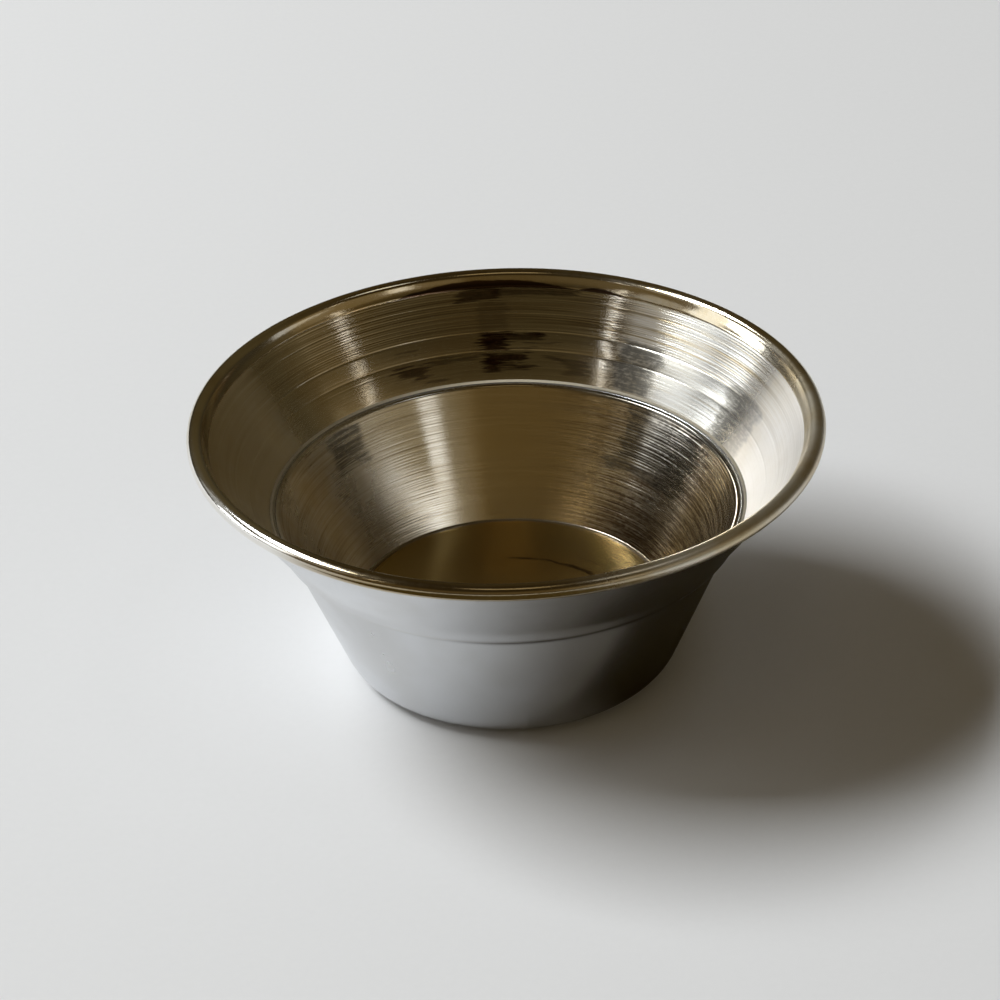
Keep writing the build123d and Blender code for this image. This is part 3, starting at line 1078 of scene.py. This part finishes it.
for piece, node, slot, materials in (
    (collar, "flared_collar", "turned_silver", [turned_collar, satin]),
    (inner_cup, "inner_cup", "turned_silver", [turned_wall, edge_metal]),
    (base_cup, "base_cup", "satin_silver", [satin, ledge_metal]),
    (floor_disc, "floor_disc", "floor_silver", [floor_silver("floor_silver")]),
    (floor_solder, "floor_solder", "solder", [solder]),
    (waist_solder, "waist_solder", "solder", [ledge_metal]),
    (rim_solder, "rim_solder", "solder", [solder]),
    (lip, "rim_lip", "polished_silver", [polished_silver("polished_silver")]),
    (wire, "rim_wire", "wire", [wire_metal("wire")]),
):
    for material in materials:
        piece.data.materials.append(material)
    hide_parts(node)
    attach(piece, "root")


# Stage

FLOOR_REACH = 10.0  # radius of the floor, m
FLOOR_SIDES = 96
PAPER_DARK = (0.73, 0.73, 0.735)
PAPER_LIGHT = (0.75, 0.75, 0.755)


def stage_floor():
    """A wide pale floor with a faint grain."""
    turn = np.radians(np.arange(FLOOR_SIDES) * 360 / FLOOR_SIDES)
    ring = np.stack([FLOOR_REACH * np.cos(turn), FLOOR_REACH * np.sin(turn), 0 * turn], 1)
    mesh = bpy.data.meshes.new("floor")
    mesh.from_pydata(ring.tolist(), [], [tuple(range(FLOOR_SIDES))])
    s = Shader("pale_floor", MATT)
    grain = s.noise(s.add("ShaderNodeTexCoord").outputs["Object"], 900, 2, 0.5)
    mesh.materials.append(s.surface(s.mix(grain, PAPER_DARK, PAPER_LIGHT)))
    floor = bpy.data.objects.new("floor", mesh)
    bpy.context.scene.collection.objects.link(floor)
    floor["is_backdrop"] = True


COOL = (0.95, 0.98, 1.0)
NEUTRAL = (1.0, 1.0, 0.98)
CREAM = (1.0, 0.98, 0.94)
AMBER = (1.0, 0.84, 0.56)

# Soft boxes: azimuth and elevation in degrees, distance, width and height in m, level of light, colour
LAMPS = {
    "key_box": (166, 50, 2.0, 1.24, 0.55, 21.0, COOL),
    "window": (183.5, 20, 2.0, 0.53, 0.90, 1.4, COOL),
    "low_left": (167, 13, 2.0, 0.60, 0.50, 5.0, COOL),
    "low_back": (149, 23, 2.0, 0.58, 0.70, 0.25, COOL),
    "fill_left": (204, 33, 2.0, 0.53, 0.70, 0.24, COOL),
    "panel_right": (-38, 21, 2.0, 2.60, 0.75, 0.09, AMBER),
    "overhead": (-90, 75, 2.0, 0.60, 0.50, 0.42, AMBER),
    "strip_right_low": (-50, 22, 1.6, 0.25, 0.25, 0.9, NEUTRAL),
    "strip_right_high": (-20, 32, 1.6, 0.04, 0.25, 2.0, CREAM),
    "strip_left": (-140, 37, 1.6, 0.022, 0.45, 3.4, CREAM),
    "low_right": (-8, 11, 2.0, 0.90, 0.30, 0.4, COOL),
    "ledge_light": (-10, 66, 2.0, 0.50, 0.30, 1.5, COOL),
}


def lamp(name, azimuth, elevation, distance, width, height, level, colour):
    """A soft box of an even level of light, turned to the bowl."""
    data = bpy.data.lights.new(name, "AREA")
    data.shape = "RECTANGLE"
    data.size, data.size_y = width, height
    data.energy = level * pi * width * height
    data.color = colour
    a, e = radians(azimuth), radians(elevation)
    place = Vector((cos(e) * cos(a), cos(e) * sin(a), sin(e))) * distance
    box = bpy.data.objects.new(name, data)
    box.location = place
    box.rotation_euler = (-place).to_track_quat("-Z", "Y").to_euler()
    bpy.context.scene.collection.objects.link(box)


FLAG_HEIGHT = 0.15  # above the floor, mm
FLAG_DARK = (0.09, 0.066, 0.024)
FLAG_LIGHT = (0.12, 0.088, 0.032)
FLAG_EDGE = (0.6, 0.6, 0.6)


def dark_flag(name, outline, start, end):
    """A dark sheet on the floor, which only the metal sees: painted shade in the metal's reflection of the
    floor; it darkens from one x to another, in mm.
    """
    mesh = bpy.data.meshes.new(name)
    corners = [(x * MM, y * MM, FLAG_HEIGHT * MM) for x, y in outline]
    mesh.from_pydata(corners, [], [tuple(range(len(corners)))])
    s = Shader(name, MATT)
    # Painted shade that the metal sees in its reflection of the floor
    flag_shade = s.mix(s.clouds(0.4, 2, 0.5), FLAG_DARK, FLAG_LIGHT)
    mesh.materials.append(s.surface(s.mix(s.steps(s.place.x, start, end), FLAG_EDGE, flag_shade)))
    flag = bpy.data.objects.new(name, mesh)
    bpy.context.scene.collection.objects.link(flag)
    flag.visible_camera = False
    flag.visible_diffuse = False
    flag.visible_shadow = False
    flag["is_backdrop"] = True


# Outlines of the flags: one lies beside the foot, at the right, and one in front of the bowl
FOOT_CLEAR = 20.0  # radius about the axis that the flag beside the foot leaves free
FOOT_ARC = (88, -85)  # degrees of that flag's edge around the foot
BESIDE_CORNERS = [(2, -24.5), (70, -24.5), (70, 70), (0, 70)]
BESIDE_FADE = (4.0, 18.0)
BEFORE_CORNERS = [(-90, -46), (-110, -260), (90, -260), (60, -46)]
BEFORE_FADE = (-95.0, -60.0)

stage_floor()
for lamp_name, settings in LAMPS.items():
    lamp(lamp_name, *settings)
foot_turns = np.radians(np.linspace(*FOOT_ARC, 30))
around_foot = [(FOOT_CLEAR * cos(turn), FOOT_CLEAR * sin(turn)) for turn in foot_turns]
dark_flag("flag_beside", around_foot + BESIDE_CORNERS, *BESIDE_FADE)
dark_flag("flag_before", BEFORE_CORNERS, *BEFORE_FADE)

# A dim warm room, lighter at eye level in front of the bowl than above and behind it.
# Each half of it is a row of heights, as shares of straight up, with their light.
ROOM_FRONT = (
    (0.0, (0.035, 0.026, 0.012)),
    (0.2, (0.145, 0.108, 0.052)),
    (0.5, (0.120, 0.086, 0.036)),
    (0.65, (0.045, 0.031, 0.011)),
    (1.0, (0.035, 0.023, 0.006)),
)
ROOM_BACK = (
    (0.0, (0.030, 0.024, 0.014)),
    (0.45, (0.065, 0.048, 0.020)),
    (0.65, (0.065, 0.048, 0.020)),
    (1.0, (0.035, 0.023, 0.006)),
)
ROOM_BLEND = 0.2  # how far either side of the middle the two halves blend


def room():
    """The world around the stage."""
    world = bpy.data.worlds.new("room")
    bpy.context.scene.world = world
    world.use_nodes = True
    tree = world.node_tree
    split = tree.nodes.new("ShaderNodeSeparateXYZ")
    tree.links.new(tree.nodes.new("ShaderNodeTexCoord").outputs["Generated"], split.inputs[0])
    side = tree.nodes.new("ShaderNodeMapRange")
    tree.links.new(split.outputs["Y"], side.inputs["Value"])
    side.inputs["From Min"].default_value = -ROOM_BLEND
    side.inputs["From Max"].default_value = ROOM_BLEND
    mix = tree.nodes.new("ShaderNodeMix")
    mix.data_type = "RGBA"
    tree.links.new(side.outputs[0], mix.inputs[0])
    for stops, half in ((ROOM_FRONT, mix.inputs[6]), (ROOM_BACK, mix.inputs[7])):
        ramp = tree.nodes.new("ShaderNodeValToRGB")
        tree.links.new(split.outputs["Z"], ramp.inputs[0])
        tree.links.new(ramp.outputs[0], half)
        elements = ramp.color_ramp.elements
        elements.remove(elements[1])
        for place, colour in stops:
            stop = elements[0] if place == 0 else elements.new(place)
            stop.position = place
            stop.color = (*colour, 1)
    tree.links.new(mix.outputs[2], tree.nodes["Background"].inputs[0])


room()

# Camera, at the photograph's angle
LENS = 126  # mm
SENSOR = 36  # mm
NEAREST = 0.01  # nearest distance that is drawn, m
DISTANCE = 0.47146  # from the target, m
ELEVATION = radians(31.576)
ROLL_ANGLE = radians(-1.695)
TARGET = Vector((-0.001074, 0, 0.023510))


def photograph_camera():
    """The camera that was fitted to the photograph."""
    back = Vector((0, -cos(ELEVATION), sin(ELEVATION)))
    right = Vector((1, 0, 0))
    up = back.cross(right)
    across = right * cos(ROLL_ANGLE) + up * sin(ROLL_ANGLE)
    upward = up * cos(ROLL_ANGLE) - right * sin(ROLL_ANGLE)
    data = bpy.data.cameras.new("camera")
    data.lens = LENS
    data.sensor_width = SENSOR
    data.clip_start = NEAREST
    camera = bpy.data.objects.new("camera", data)
    axes = Matrix((across, upward, back)).transposed().to_4x4()
    camera.matrix_world = Matrix.Translation(TARGET + back * DISTANCE) @ axes
    bpy.context.scene.collection.objects.link(camera)
    bpy.context.scene.camera = camera


photograph_camera()
bpy.context.scene.view_settings.view_transform = "Standard"

boxes = {"cad": cad_box, "visual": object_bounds()}
{k: [[float(v) for v in corner] for corner in box] for k, box in boxes.items()}
